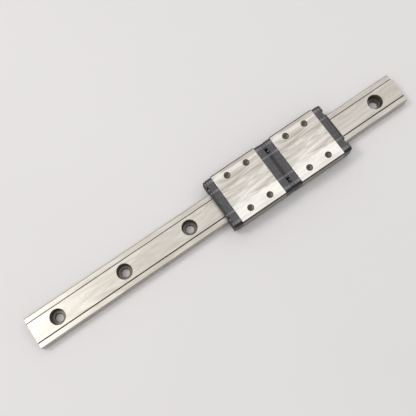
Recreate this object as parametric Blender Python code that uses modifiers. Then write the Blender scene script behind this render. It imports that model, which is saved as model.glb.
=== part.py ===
"""Wide miniature linear guide: a counterbored rail carrying two recirculating-ball carriages.

Frame: +X along the rail, +Y across it, +Z up. The origin is at the middle of the rail's underside.
Each carriage is modelled once about its own centre, above the rail's underside, and placed twice.
"""

import math

import bmesh
import bpy

MM = 0.001

# Rail: overall section, then the features of one side of it.
RAIL_LENGTH = 230 * MM
RAIL_HALF_WIDTH = 9.0 * MM
RAIL_HEIGHT = 6.6 * MM
FOOT_HEIGHT = 1.2 * MM  # full-width foot below the waist
WAIST_Z = 2.2 * MM
WAIST_HALF_WIDTH = 8.4 * MM
CROWN_HALF_WIDTH = 5.55 * MM  # raised middle band of the rail's top
EDGE_CHAMFER = 0.3 * MM
RELIEF_WIDTH = 0.3 * MM  # narrow groove at the foot of the crown
RELIEF_DEPTH = 0.15 * MM
BOLT_PITCH = 40 * MM
BOLT_COUNT = 6
BOLT_HOLE_RADIUS = 2.25 * MM
COUNTERBORE_RADIUS = 4.0 * MM
COUNTERBORE_DEPTH = 4.5 * MM

# Ball rows: two on each side, one above the other, with a return bore outboard of each.
BALL_RADIUS = 0.794 * MM
GROOVE_RADIUS = 0.86 * MM
ROW_Y = 9.3 * MM
ROW_Z = {"upper": 6.1 * MM, "lower": 3.7 * MM}
TURN_RADIUS = 1.7 * MM
TURN_Y = ROW_Y + TURN_RADIUS
RETURN_BORE_RADIUS = 0.9 * MM
BALLS_PER_CIRCUIT = 33
CAGE_LINK_SHARE = 0.45  # cage link radius as a share of the ball's

# Carriage block.
BLOCK_LENGTH = 27 * MM
BLOCK_HALF_WIDTH = 15 * MM
BLOCK_TOP = 12 * MM
BLOCK_BOTTOM = 2 * MM
BLOCK_CHAMFER = 0.6 * MM
CHANNEL_TOP = 7.1 * MM
LIP_HALF_WIDTH = 8.75 * MM  # inner edge of the lip below the lower balls
TAP_SPACING_X = 12 * MM
TAP_SPACING_Y = 21 * MM
TAP_RADIUS = 1.25 * MM
TAP_DEPTH = 3.5 * MM
TAP_CHAMFER = 0.3 * MM

# Retainer strip between the two rows of one side.
RETAINER_Y = (9.65 * MM, 10.4 * MM)
RETAINER_HALF_HEIGHT = 0.28 * MM
SLOT_DEPTH_Y = 10.45 * MM
SLOT_HALF_HEIGHT = 0.34 * MM

# End stack, counted outwards from the block's end face.
FIT_GAP = 0.05 * MM
END_PLATE_THICKNESS = 3.7 * MM
END_PLATE_HALF_WIDTH = 14.8 * MM
END_PLATE_Z = (2.2 * MM, 11.65 * MM)
END_PLATE_CORNER = 1.2 * MM
RIM_SPANS = ((6.4 * MM, 7.4 * MM), (11.8 * MM, 13.3 * MM))  # raised rims beside each end screw
RIM_HEIGHT = 0.15 * MM
END_PLATE_GAP = 0.4 * MM  # to the rail
SEAL_CORE_THICKNESS = 0.35 * MM
SEAL_CORE_HALF_WIDTH = 14.5 * MM
SEAL_CORE_Z = (2.5 * MM, 11.5 * MM)
SEAL_CORE_GAP = 0.35 * MM
WIPER_THICKNESS = 0.8 * MM
WIPER_HALF_WIDTH = 14.65 * MM
WIPER_Z = (2.3 * MM, 11.6 * MM)
WIPER_GAP = 0.08 * MM
POCKET_RADIUS = 0.9 * MM  # race of the turn in the end plate
POCKET_BORE_RADIUS = 1.3 * MM
POCKET_Z = (2.7 * MM, 7.15 * MM)
GUIDE_RADIUS = 1.2 * MM
GUIDE_Z = (2.75 * MM, 7.1 * MM)
GREASE_PORT_RADIUS = 1.1 * MM
GREASE_PORT_Z = 9.4 * MM
GREASE_PORT_DEPTH = 2.0 * MM

# End screws.
SCREW_Y = 9.5 * MM
SCREW_Z = 9.3 * MM
SCREW_HEAD_RADIUS = 1.15 * MM
SCREW_HEAD_HEIGHT = 0.7 * MM
SCREW_HEAD_ROUNDING = 0.17 * MM  # of the head's outer edge
SCREW_SHANK_RADIUS = 0.75 * MM
SCREW_REACH = 3.0 * MM  # into the block
SCREW_HOLE_CLEARANCE = 0.1 * MM
RECESS_ARMS = ((0.75 * MM, 0.175 * MM), (0.175 * MM, 0.75 * MM))  # half sides of the cross, along Y and Z
RECESS_DEPTH = 0.4 * MM
HEAD_NOTCH_HALF_WIDTH = 1.3 * MM

# Where the carriages rest along the rail.
CARRIAGE_HALF_LENGTH = 18.5 * MM
PAIR_CENTRE_X = 35.5 * MM
PAIR_GAP = 0.2 * MM

# Distances outwards from a carriage's centre, along X.
BLOCK_END = BLOCK_LENGTH / 2
END_PLATE_START = BLOCK_END + FIT_GAP
SEAL_CORE_START = END_PLATE_START + END_PLATE_THICKNESS + FIT_GAP
WIPER_START = SEAL_CORE_START + SEAL_CORE_THICKNESS + FIT_GAP

ROUND_STEPS = 24
SMALL_STEPS = 12
CUT_MARGIN = 0.5 * MM
MERGE_DISTANCE = 1e-6
SMOOTH_ANGLE = math.radians(40)


# ---------------------------------------------------------------- scene


def clear_scene():
    for obj in list(bpy.data.objects):
        bpy.data.objects.remove(obj, do_unlink=True)


def new_collection(name):
    made = bpy.data.collections.new(name)
    bpy.context.scene.collection.children.link(made)
    return made


def make_material(name, colour, roughness, metallic):
    made = bpy.data.materials.new(name)
    made.use_nodes = True
    shader = made.node_tree.nodes["Principled BSDF"]
    shader.inputs["Base Color"].default_value = (*colour, 1)
    shader.inputs["Roughness"].default_value = roughness
    shader.inputs["Metallic"].default_value = metallic
    return made


def link(name, data, collection):
    made = bpy.data.objects.new(name, data)
    collection.objects.link(made)
    return made


# ---------------------------------------------------------------- outlines (y, z)


def arc(centre, radius, start, end, steps):
    """Points on an arc, both ends included. Angles are in degrees, anticlockwise from +Y."""
    angles = [math.radians(start + (end - start) * i / steps) for i in range(steps + 1)]
    return [(centre[0] + radius * math.cos(a), centre[1] + radius * math.sin(a)) for a in angles]


def circle(centre, radius, steps=10):
    return arc(centre, radius, 0, 360, steps)[:-1]


def mirrored(half):
    """The whole outline from its +Y half."""
    return half + [(-y, z) for y, z in reversed(half) if y > MERGE_DISTANCE]


def flank(gap):
    """The rail's side from its waist up to the land beside its crown, pushed outwards by gap."""
    radius = GROOVE_RADIUS - gap
    reach = math.degrees(math.acos((ROW_Y - RAIL_HALF_WIDTH - gap) / radius))
    lower, upper = (ROW_Y, ROW_Z["lower"]), (ROW_Y, ROW_Z["upper"])
    return [
        *arc(lower, radius, 180, 180 - reach, 4),
        *reversed(arc(upper, radius, 180, 180 + reach, 4)),
    ]


def rail_half():
    land_z = ROW_Z["upper"]
    relief_y = CROWN_HALF_WIDTH + RELIEF_WIDTH
    relief_z = land_z - RELIEF_DEPTH
    return [
        (RAIL_HALF_WIDTH - EDGE_CHAMFER, 0),
        (RAIL_HALF_WIDTH, EDGE_CHAMFER),
        (RAIL_HALF_WIDTH, FOOT_HEIGHT),
        (WAIST_HALF_WIDTH, WAIST_Z),
        *flank(0),
        (relief_y + RELIEF_DEPTH, land_z),
        (relief_y, relief_z),
        (CROWN_HALF_WIDTH, relief_z),
        (CROWN_HALF_WIDTH, RAIL_HEIGHT - EDGE_CHAMFER / 3),
        (CROWN_HALF_WIDTH - EDGE_CHAMFER / 3, RAIL_HEIGHT),
    ]


def saddle(gap, half_width, heights, rims=()):
    """Half of a plate that straddles the rail, at a distance of gap from it, with rims along its top."""
    bottom, top = heights
    corner = END_PLATE_CORNER
    crest = top + RIM_HEIGHT
    rim_points = []
    for low, high in reversed(rims):
        rim_points += [(high, top), (high, crest), (low, crest), (low, top)]
    return [
        (0, RAIL_HEIGHT + gap),
        (CROWN_HALF_WIDTH + gap, RAIL_HEIGHT + gap),
        (CROWN_HALF_WIDTH + gap, ROW_Z["upper"] + gap),
        *[(y, z + gap if z == ROW_Z["upper"] else z) for y, z in reversed(flank(gap))],
        (WAIST_HALF_WIDTH + gap, bottom),
        (half_width - corner / 2, bottom),
        (half_width, bottom + corner / 2),
        (half_width, top - corner),
        (half_width - corner, top),
        *rim_points,
        (0, top),
    ]


def block_half():
    """Half of the block's section, whose channel holds both raceways and the retainer's slot."""
    upper, lower = (ROW_Y, ROW_Z["upper"]), (ROW_Y, ROW_Z["lower"])
    middle = (ROW_Z["upper"] + ROW_Z["lower"]) / 2
    return [
        (0, CHANNEL_TOP),
        (ROW_Y - GROOVE_RADIUS / 2, CHANNEL_TOP),
        *arc(upper, GROOVE_RADIUS, 90, 0, 5),
        (ROW_Y + GROOVE_RADIUS, middle + SLOT_HALF_HEIGHT),
        (SLOT_DEPTH_Y, middle + SLOT_HALF_HEIGHT),
        (SLOT_DEPTH_Y, middle - SLOT_HALF_HEIGHT),
        (ROW_Y + GROOVE_RADIUS, middle - SLOT_HALF_HEIGHT),
        *arc(lower, GROOVE_RADIUS, 0, -90, 5),
        (LIP_HALF_WIDTH, ROW_Z["lower"] - GROOVE_RADIUS),
        (LIP_HALF_WIDTH, BLOCK_BOTTOM + EDGE_CHAMFER),
        (LIP_HALF_WIDTH + EDGE_CHAMFER, BLOCK_BOTTOM),
        (BLOCK_HALF_WIDTH - BLOCK_CHAMFER, BLOCK_BOTTOM),
        (BLOCK_HALF_WIDTH, BLOCK_BOTTOM + BLOCK_CHAMFER),
        (BLOCK_HALF_WIDTH, BLOCK_TOP - BLOCK_CHAMFER),
        (BLOCK_HALF_WIDTH - BLOCK_CHAMFER, BLOCK_TOP),
        (0, BLOCK_TOP),
    ]


# ---------------------------------------------------------------- solids


def prism(name, outline, length, collection, start=None, holes=()):
    """A mesh object of constant section: outline in the YZ plane, with holes, along X from start."""
    curve = bpy.data.curves.new(name, "CURVE")
    curve.dimensions = "2D"
    curve.fill_mode = "BOTH"
    curve.extrude = length / 2
    for loop in (outline, *holes):
        spline = curve.splines.new("POLY")
        spline.points.add(len(loop) - 1)
        spline.use_cyclic_u = True
        for point, (y, z) in zip(spline.points, loop):
            point.co = (y, z, 0, 1)
    drawn = link(name + "_outline", curve, collection)
    drawn.rotation_euler = (math.pi / 2, 0, math.pi / 2)
    drawn.location.x = 0 if start is None else start + length / 2
    mesh = baked(drawn)
    weld(mesh)
    return link(name, mesh, collection)


def turned(name, profile, collection, steps=SMALL_STEPS, along_x=False):
    """A solid of revolution about its local Z, or about X, from (radius, height) points, top first."""
    mesh = bpy.data.meshes.new(name)
    points = [(radius, 0, height) for radius, height in profile]
    mesh.from_pydata(points, [(i, i + 1) for i in range(len(points) - 1)], [])
    made = link(name, mesh, collection)
    screw = made.modifiers.new("turn", "SCREW")
    screw.steps = screw.render_steps = steps
    screw.use_merge_vertices = True
    screw.merge_threshold = MERGE_DISTANCE
    if along_x:
        made.rotation_euler.y = math.pi / 2
    return made


def box(name, low, high, collection):
    mesh = bpy.data.meshes.new(name)
    shape = bmesh.new()
    bmesh.ops.create_cube(shape, size=1)
    for vertex in shape.verts:
        for axis in range(3):
            middle, side = (low[axis] + high[axis]) / 2, high[axis] - low[axis]
            vertex.co[axis] = middle + vertex.co[axis] * side
    shape.to_mesh(mesh)
    shape.free()
    return link(name, mesh, collection)


def repeat(obj, count, offset):
    array = obj.modifiers.new("repeat", "ARRAY")
    array.count = count
    array.use_relative_offset = False
    array.use_constant_offset = True
    array.constant_offset_displace = offset


def combine(obj, other, operation="DIFFERENCE"):
    """A Boolean with other, which becomes a hidden helper."""
    modifier = obj.modifiers.new(other.name, "BOOLEAN")
    modifier.operation = operation
    modifier.object = other
    other.hide_render = True
    other.display_type = "WIRE"


def weld(mesh):
    shape = bmesh.new()
    shape.from_mesh(mesh)
    bmesh.ops.remove_doubles(shape, verts=shape.verts, dist=MERGE_DISTANCE)
    bmesh.ops.recalc_face_normals(shape, faces=shape.faces)
    shape.to_mesh(mesh)
    shape.free()


def baked(obj):
    """The object's mesh with its modifiers and transform applied. The object is removed."""
    bpy.context.view_layer.update()
    graph = bpy.context.evaluated_depsgraph_get()
    mesh = bpy.data.meshes.new_from_object(obj.evaluated_get(graph))
    mesh.transform(obj.matrix_world)
    bpy.data.objects.remove(obj, do_unlink=True)
    return mesh


def finished(obj, material):
    """A shared mesh for the copies of a piece: baked, shaded and coloured."""
    mesh = baked(obj)
    mesh.materials.clear()
    mesh.materials.append(material)
    mesh.shade_smooth()
    mesh.set_sharp_from_angle(angle=SMOOTH_ANGLE)
    return mesh


# ---------------------------------------------------------------- pieces


def make_rail(helpers, material):
    rail = prism("rail_blank", mirrored(rail_half()), RAIL_LENGTH, helpers)
    shoulder_z = RAIL_HEIGHT - COUNTERBORE_DEPTH
    holes = turned(
        "bolt_holes",
        [
            (0, RAIL_HEIGHT + CUT_MARGIN),
            (COUNTERBORE_RADIUS, RAIL_HEIGHT + CUT_MARGIN),
            (COUNTERBORE_RADIUS, shoulder_z),
            (BOLT_HOLE_RADIUS, shoulder_z),
            (BOLT_HOLE_RADIUS, -CUT_MARGIN),
            (0, -CUT_MARGIN),
        ],
        helpers,
        steps=ROUND_STEPS,
    )
    holes.location.x = -BOLT_PITCH * (BOLT_COUNT - 1) / 2
    repeat(holes, BOLT_COUNT, (BOLT_PITCH, 0, 0))
    combine(rail, holes)
    return finished(rail, material)


def make_block(helpers, material):
    bores = [
        circle((side * (TURN_Y + TURN_RADIUS), z), RETURN_BORE_RADIUS)
        for side in (-1, 1)
        for z in ROW_Z.values()
    ]
    block = prism("block_blank", mirrored(block_half()), BLOCK_LENGTH, helpers, holes=bores)

    drill_tip = BLOCK_TOP - TAP_DEPTH - TAP_RADIUS / 2
    taps = turned(
        "mounting_taps",
        [
            (0, BLOCK_TOP + CUT_MARGIN),
            (TAP_RADIUS + TAP_CHAMFER + CUT_MARGIN, BLOCK_TOP + CUT_MARGIN),
            (TAP_RADIUS, BLOCK_TOP - TAP_CHAMFER),
            (TAP_RADIUS, BLOCK_TOP - TAP_DEPTH),
            (0, drill_tip),
        ],
        helpers,
    )
    taps.location = (-TAP_SPACING_X / 2, -TAP_SPACING_Y / 2, 0)
    repeat(taps, 2, (TAP_SPACING_X, 0, 0))
    repeat(taps, 2, (0, TAP_SPACING_Y, 0))
    combine(block, taps)

    for end in (-1, 1):
        hole = screw_hole(f"screw_taps_{end}", helpers, BLOCK_END - SCREW_REACH, BLOCK_END + CUT_MARGIN)
        hole.location.x *= end
        combine(block, hole)
    return finished(block, material)


def screw_hole(name, helpers, start, end):
    """The pair of end screw holes, from start to end along X."""
    radius = SCREW_SHANK_RADIUS + SCREW_HOLE_CLEARANCE
    half = (end - start) / 2
    profile = [(0, half), (radius, half), (radius, -half), (0, -half)]
    hole = turned(name, profile, helpers, along_x=True)
    hole.location = ((start + end) / 2, -SCREW_Y, SCREW_Z)
    repeat(hole, 2, (0, 2 * SCREW_Y, 0))
    return hole


def race_profile(radius, bore_radius, heights, outside):
    """(radius, height) points round the ball turns: the outer race of the pocket, or the guide's spool."""
    bottom, top = heights
    lean = math.degrees(math.acos((bore_radius - TURN_RADIUS) / radius))
    points = [(0, top), (bore_radius, top)]
    for row in ("upper", "lower"):
        end = -lean if outside else 360 - lean
        steps = 5 if outside else 3
        points += arc((TURN_RADIUS, ROW_Z[row]), radius, lean, end, steps)
    return points + [(bore_radius, bottom), (0, bottom)]


def make_end_plate(helpers, material):
    outline = mirrored(saddle(END_PLATE_GAP, END_PLATE_HALF_WIDTH, END_PLATE_Z, RIM_SPANS))
    plate = prism("end_plate_blank", outline, END_PLATE_THICKNESS, helpers, start=END_PLATE_START)

    pockets = turned(
        "turn_pockets",
        race_profile(POCKET_RADIUS, POCKET_BORE_RADIUS, POCKET_Z, outside=True),
        helpers,
    )
    pockets.location = (BLOCK_END, -TURN_Y, 0)
    repeat(pockets, 2, (0, 2 * TURN_Y, 0))
    combine(plate, pockets)

    face = END_PLATE_START + END_PLATE_THICKNESS
    combine(plate, screw_hole("screw_clearance", helpers, BLOCK_END - CUT_MARGIN, face + CUT_MARGIN))
    combine(plate, grease_port("plate_port", helpers, face - GREASE_PORT_DEPTH, face + CUT_MARGIN))
    return finished(plate, material)


def grease_port(name, helpers, start, end):
    half = (end - start) / 2
    profile = [(0, half), (GREASE_PORT_RADIUS, half), (GREASE_PORT_RADIUS, -half), (0, -half)]
    port = turned(name, profile, helpers, along_x=True)
    port.location = ((start + end) / 2, 0, GREASE_PORT_Z)
    return port


def make_seal_core(helpers, material):
    outline = mirrored(saddle(SEAL_CORE_GAP, SEAL_CORE_HALF_WIDTH, SEAL_CORE_Z))
    core = prism("seal_core_blank", outline, SEAL_CORE_THICKNESS, helpers, start=SEAL_CORE_START)
    span = (SEAL_CORE_START - CUT_MARGIN, SEAL_CORE_START + SEAL_CORE_THICKNESS + CUT_MARGIN)
    combine(core, screw_hole("core_screw_holes", helpers, *span))
    combine(core, grease_port("core_port", helpers, *span))
    return finished(core, material)


def make_wiper(helpers, material):
    outline = mirrored(saddle(WIPER_GAP, WIPER_HALF_WIDTH, WIPER_Z, RIM_SPANS))
    wiper = prism("wiper_blank", outline, WIPER_THICKNESS, helpers, start=WIPER_START)
    span = (WIPER_START - CUT_MARGIN, WIPER_START + WIPER_THICKNESS + CUT_MARGIN)
    for y in (-SCREW_Y, SCREW_Y):
        outline = [
            (y + HEAD_NOTCH_HALF_WIDTH, WIPER_Z[1] + CUT_MARGIN),
            (y - HEAD_NOTCH_HALF_WIDTH, WIPER_Z[1] + CUT_MARGIN),
            *arc((y, SCREW_Z), HEAD_NOTCH_HALF_WIDTH, 180, 360, 8),
        ]
        combine(wiper, prism("head_notch", outline, span[1] - span[0], helpers, start=span[0]))
    combine(wiper, grease_port("wiper_port", helpers, *span))
    return finished(wiper, material)


def make_return_guide(helpers, material):
    """The half spool that the balls turn round. It stands on the block's end face, at y = 0."""
    spool = turned(
        "return_guide_blank",
        race_profile(GROOVE_RADIUS, GUIDE_RADIUS, GUIDE_Z, outside=False),
        helpers,
    )
    reach = 2 * GUIDE_RADIUS
    back = box("guide_back", (-reach, -reach, 0), (FIT_GAP, reach, BLOCK_TOP), helpers)
    combine(spool, back)
    return finished(spool, material)


def make_retainer(helpers, material):
    inner, outer = RETAINER_Y
    middle = (ROW_Z["upper"] + ROW_Z["lower"]) / 2
    section = [
        (inner, middle - RETAINER_HALF_HEIGHT / 2),
        (outer, middle - RETAINER_HALF_HEIGHT),
        (outer, middle + RETAINER_HALF_HEIGHT),
        (inner, middle + RETAINER_HALF_HEIGHT / 2),
    ]
    return finished(prism("retainer_blank", section, BLOCK_LENGTH, helpers), material)


def make_screw(helpers, material):
    """A cross-headed screw along X, with its seat at the local origin and its shank towards -X."""
    shank_end = BLOCK_END - SCREW_REACH + FIT_GAP - WIPER_START
    screw = turned(
        "screw_blank",
        [
            (0, SCREW_HEAD_HEIGHT),
            (SCREW_HEAD_RADIUS - SCREW_HEAD_ROUNDING, SCREW_HEAD_HEIGHT),
            (SCREW_HEAD_RADIUS, SCREW_HEAD_HEIGHT - SCREW_HEAD_ROUNDING),
            (SCREW_HEAD_RADIUS, 0),
            (SCREW_SHANK_RADIUS, 0),
            (SCREW_SHANK_RADIUS, shank_end),
            (0, shank_end),
        ],
        helpers,
        along_x=True,
    )
    floor, top = SCREW_HEAD_HEIGHT - RECESS_DEPTH, SCREW_HEAD_HEIGHT + CUT_MARGIN
    for half_y, half_z in RECESS_ARMS:
        combine(screw, box("recess_arm", (floor, -half_y, -half_z), (top, half_y, half_z), helpers))
    return finished(screw, material)


def circuit_point(distance):
    """The point (x, y) at this distance round a ball circuit: two straights and two half turns."""
    straight, turn = BLOCK_LENGTH, math.pi * TURN_RADIUS
    distance %= 2 * (straight + turn)
    if distance < straight:
        return (-BLOCK_END + distance, -TURN_RADIUS)
    distance -= straight
    if distance < turn:
        angle = distance / TURN_RADIUS - math.pi / 2
        return (BLOCK_END + TURN_RADIUS * math.cos(angle), TURN_RADIUS * math.sin(angle))
    distance -= turn
    if distance < straight:
        return (BLOCK_END - distance, TURN_RADIUS)
    angle = (distance - straight) / TURN_RADIUS + math.pi / 2
    return (-BLOCK_END + TURN_RADIUS * math.cos(angle), TURN_RADIUS * math.sin(angle))


def make_ball_chain(helpers, material):
    """One circuit of balls in its cage, as a string of beads, centred on the middle of the circuit."""
    length = 2 * (BLOCK_LENGTH + math.pi * TURN_RADIUS)
    pitch = length / BALLS_PER_CIRCUIT
    rings = [(0, 1), (pitch / 2, CAGE_LINK_SHARE)]

    curve = bpy.data.curves.new("ball_chain", "CURVE")
    curve.dimensions = "3D"
    curve.twist_mode = "Z_UP"
    curve.bevel_depth = BALL_RADIUS
    curve.bevel_resolution = 1
    spline = curve.splines.new("POLY")
    spline.points.add(BALLS_PER_CIRCUIT * len(rings) - 1)
    spline.use_cyclic_u = True
    points = iter(spline.points)
    for ball in range(BALLS_PER_CIRCUIT):
        for offset, share in rings:
            point = next(points)
            point.co = (*circuit_point(ball * pitch + offset), 0, 1)
            point.radius = share
    mesh = baked(link("ball_chain_path", curve, helpers))
    weld(mesh)
    return finished(link("ball_chain_blank", mesh, helpers), material)


# ---------------------------------------------------------------- assembly


def place(name, mesh, carriage, location=(0, 0, 0), turned_round=False):
    """One copy of a carriage piece. Turned round, it faces the other way along the rail."""
    made = link(name, mesh, carriage.users_collection[0])
    made.parent = carriage
    made.location = location
    made.rotation_euler.z = math.pi if turned_round else 0
    return made


def assemble_carriage(side, centre_x, shapes, collection):
    carriage = link(f"{side}_carriage", None, collection)
    carriage.location.x = centre_x
    place(f"{side}_block", shapes["block"], carriage)

    for end, along in (("head", 1), ("tail", -1)):
        away = along < 0
        for piece in ("end_plate", "seal_core", "wiper_seal"):
            place(f"{side}_{piece}_{end}", shapes[piece], carriage, turned_round=away)
        for flank_name, across in (("near", -1), ("far", 1)):
            label = f"{end}_{flank_name}"
            guide_at = (along * BLOCK_END, across * TURN_Y, 0)
            place(f"{side}_return_guide_{label}", shapes["return_guide"], carriage, guide_at, away)
            screw_at = (along * WIPER_START, across * SCREW_Y, SCREW_Z)
            place(f"{side}_screw_{label}", shapes["screw"], carriage, screw_at, away)

    for flank_name, across in (("near", -1), ("far", 1)):
        near = across < 0
        place(f"{side}_ball_retainer_{flank_name}", shapes["retainer"], carriage, turned_round=near)
        for row, z in ROW_Z.items():
            at = (0, across * TURN_Y, z)
            place(f"{side}_ball_chain_{flank_name}_{row}", shapes["ball_chain"], carriage, at, near)


def main():
    clear_scene()
    guide = new_collection("linear_guide")
    helpers = new_collection("helpers")
    helpers.hide_render = True

    steel = make_material("ground_steel", (0.80, 0.78, 0.73), 0.28, 1.0)
    rail_steel = make_material("rail_steel", (0.74, 0.73, 0.69), 0.25, 1.0)
    bright_steel = make_material("ball_steel", (0.82, 0.82, 0.83), 0.12, 1.0)
    dark_steel = make_material("screw_steel", (0.25, 0.25, 0.26), 0.35, 1.0)
    core_steel = make_material("seal_core_steel", (0.14, 0.14, 0.145), 0.4, 1.0)
    resin = make_material("end_plate_resin", (0.06, 0.06, 0.065), 0.5, 0.0)
    guide_resin = make_material("guide_resin", (0.78, 0.76, 0.70), 0.45, 0.0)
    rubber = make_material("wiper_rubber", (0.035, 0.035, 0.037), 0.75, 0.0)

    link("rail", make_rail(helpers, rail_steel), guide)
    shapes = {
        "block": make_block(helpers, steel),
        "end_plate": make_end_plate(helpers, resin),
        "seal_core": make_seal_core(helpers, core_steel),
        "wiper_seal": make_wiper(helpers, rubber),
        "return_guide": make_return_guide(helpers, guide_resin),
        "retainer": make_retainer(helpers, guide_resin),
        "screw": make_screw(helpers, dark_steel),
        "ball_chain": make_ball_chain(helpers, bright_steel),
    }
    for helper in list(helpers.objects):
        bpy.data.objects.remove(helper, do_unlink=True)

    half_spacing = CARRIAGE_HALF_LENGTH + PAIR_GAP / 2
    assemble_carriage("left", PAIR_CENTRE_X - half_spacing, shapes, guide)
    assemble_carriage("right", PAIR_CENTRE_X + half_spacing, shapes, guide)


main()
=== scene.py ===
"""Looks of the wide miniature linear guide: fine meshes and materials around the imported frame."""

import math

import bmesh
import bpy
from mathutils import Matrix, Vector


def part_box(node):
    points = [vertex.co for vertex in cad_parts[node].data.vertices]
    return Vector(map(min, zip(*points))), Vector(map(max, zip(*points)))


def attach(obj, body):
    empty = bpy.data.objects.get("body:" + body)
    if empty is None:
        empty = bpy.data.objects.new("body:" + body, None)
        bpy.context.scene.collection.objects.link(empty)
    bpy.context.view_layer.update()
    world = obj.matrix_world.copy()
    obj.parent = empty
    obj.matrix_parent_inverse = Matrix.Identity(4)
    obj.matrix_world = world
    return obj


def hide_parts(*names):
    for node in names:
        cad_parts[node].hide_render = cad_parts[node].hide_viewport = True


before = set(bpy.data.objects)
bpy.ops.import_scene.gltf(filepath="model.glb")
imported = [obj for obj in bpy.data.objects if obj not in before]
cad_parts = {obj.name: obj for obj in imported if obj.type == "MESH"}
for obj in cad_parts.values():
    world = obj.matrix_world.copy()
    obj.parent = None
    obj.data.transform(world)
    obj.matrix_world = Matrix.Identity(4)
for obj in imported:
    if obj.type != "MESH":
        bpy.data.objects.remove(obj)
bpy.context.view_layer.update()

MM = 0.001

# ---------------------------------------------------------------- places and sizes, from the frame

RAIL_LOW, RAIL_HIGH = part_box("rail")
SIDES = ("left", "right")
ENDS = (("head", 1), ("tail", -1))
FLANKS = (("near", -1), ("far", 1))

BLOCK_LOW, BLOCK_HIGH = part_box("left_block")
BLOCK_HALF_LENGTH = (BLOCK_HIGH.x - BLOCK_LOW.x) / 2
BLOCK_HALF_WIDTH = BLOCK_HIGH.y
CENTRE_X = {
    side: (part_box(side + "_block")[0].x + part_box(side + "_block")[1].x) / 2 for side in SIDES
}


def span_from_centre(node):
    """How far a node of the left carriage reaches along X, from the carriage's centre."""
    low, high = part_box(node)
    return low.x - CENTRE_X["left"], high.x - CENTRE_X["left"]


PLATE_SPAN = span_from_centre("left_end_plate_head")
PLATE_LOW, PLATE_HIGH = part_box("left_end_plate_head")
WIPER_SPAN = span_from_centre("left_wiper_seal_head")
WIPER_LOW, WIPER_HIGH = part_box("left_wiper_seal_head")
CORE_SPAN = span_from_centre("left_seal_core_head")
CORE_LOW, CORE_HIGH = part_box("left_seal_core_head")
SCREW_LOW, SCREW_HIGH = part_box("left_screw_head_far")
SCREW_SPAN = span_from_centre("left_screw_head_far")
SCREW_Y = (SCREW_LOW.y + SCREW_HIGH.y) / 2
SCREW_Z = (SCREW_LOW.z + SCREW_HIGH.z) / 2

# Rail section, as the frame has it.
FOOT_HEIGHT = 1.2 * MM
WAIST_Z = 2.2 * MM
WAIST_HALF_WIDTH = 8.4 * MM
CROWN_HALF_WIDTH = 5.55 * MM
RELIEF_WIDTH = 0.3 * MM
RELIEF_DEPTH = 0.15 * MM
FOOT_CHAMFER = 0.3 * MM
CROWN_CHAMFER = 0.1 * MM
BOLT_PITCH = 40 * MM
BOLT_COUNT = 6
BOLT_HOLE_RADIUS = 2.25 * MM
COUNTERBORE_RADIUS = 4.0 * MM
COUNTERBORE_DEPTH = 4.5 * MM
MOUTH_CHAMFER = 0.2 * MM
RAIL_EDGE = 0.05 * MM

# Ball rows.
ROW_Y = 9.3 * MM
ROW_Z = {"upper": 6.1 * MM, "lower": 3.7 * MM}
GROOVE_RADIUS = 0.86 * MM
BALL_RADIUS = 0.794 * MM
TURN_RADIUS = 1.7 * MM
TURN_Y = ROW_Y + TURN_RADIUS
RETURN_BORE_RADIUS = 0.9 * MM
BALLS_PER_CIRCUIT = 33
BELT_HALF_HEIGHT = 0.3 * MM
BELT_THICKNESS = 0.12 * MM
BELT_POINTS_PER_BALL = 4
CIRCUIT_LENGTH = 2 * (2 * BLOCK_HALF_LENGTH + math.pi * TURN_RADIUS)

# Carriage block.
CHANNEL_TOP = 7.1 * MM
LIP_HALF_WIDTH = 8.75 * MM
BLOCK_CHAMFER = 0.6 * MM
BLOCK_EDGE = 0.1 * MM
RETAINER_SLOT_Y = 10.45 * MM
RETAINER_SLOT_HALF_HEIGHT = 0.34 * MM
TAP_SPACING_X = 12 * MM
TAP_SPACING_Y = 21 * MM
THREAD_MAJOR_RADIUS = 1.5 * MM
THREAD_MINOR_RADIUS = 1.23 * MM
THREAD_PITCH = 0.5 * MM
THREAD_DEPTH = 3.5 * MM
TAP_CHAMFER = 0.3 * MM
TAP_RUN_OUT = 0.15 * MM

# The ridge of a tapped hole's thread, which fades in and stops short of the hole's floor. Its
# section is in (radius, share of the pitch).
THREAD_STEPS = 36
THREAD_FADE_STEPS = THREAD_STEPS / 4
THREAD_START = 0.4
THREAD_TURNS = THREAD_DEPTH / THREAD_PITCH - 1.4
THREAD_ROOT = THREAD_MAJOR_RADIUS + 0.03 * MM
THREAD_SECTION = (
    (THREAD_ROOT, 0.24),
    (THREAD_MINOR_RADIUS, 0.05),
    (THREAD_MINOR_RADIUS, -0.05),
    (THREAD_ROOT, -0.24),
)

# End stack.
PLATE_GAP = 0.4 * MM
PLATE_CORNER = 1.2 * MM
PLATE_EDGE = 0.07 * MM
RIM_SPANS = ((6.4 * MM, 7.4 * MM), (11.8 * MM, 13.3 * MM))
RIM_HEIGHT = 0.15 * MM
CORE_GAP = 0.35 * MM
CORE_EDGE = 0.05 * MM
WIPER_GAP = 0.08 * MM
WIPER_EDGE = 0.06 * MM
PORT_RADIUS = 1.1 * MM
PORT_Z = 9.4 * MM
PORT_DEPTH = 2.0 * MM
SEAM_WIDTH = 0.22 * MM
SEAM_DEPTH = 0.2 * MM
SEAM_SHARE = 0.66  # of the plate's thickness, out from the block
POCKET_LOW, POCKET_HIGH = 2.7 * MM, 7.15 * MM
POCKET_RADIUS = 1.3 * MM

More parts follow.
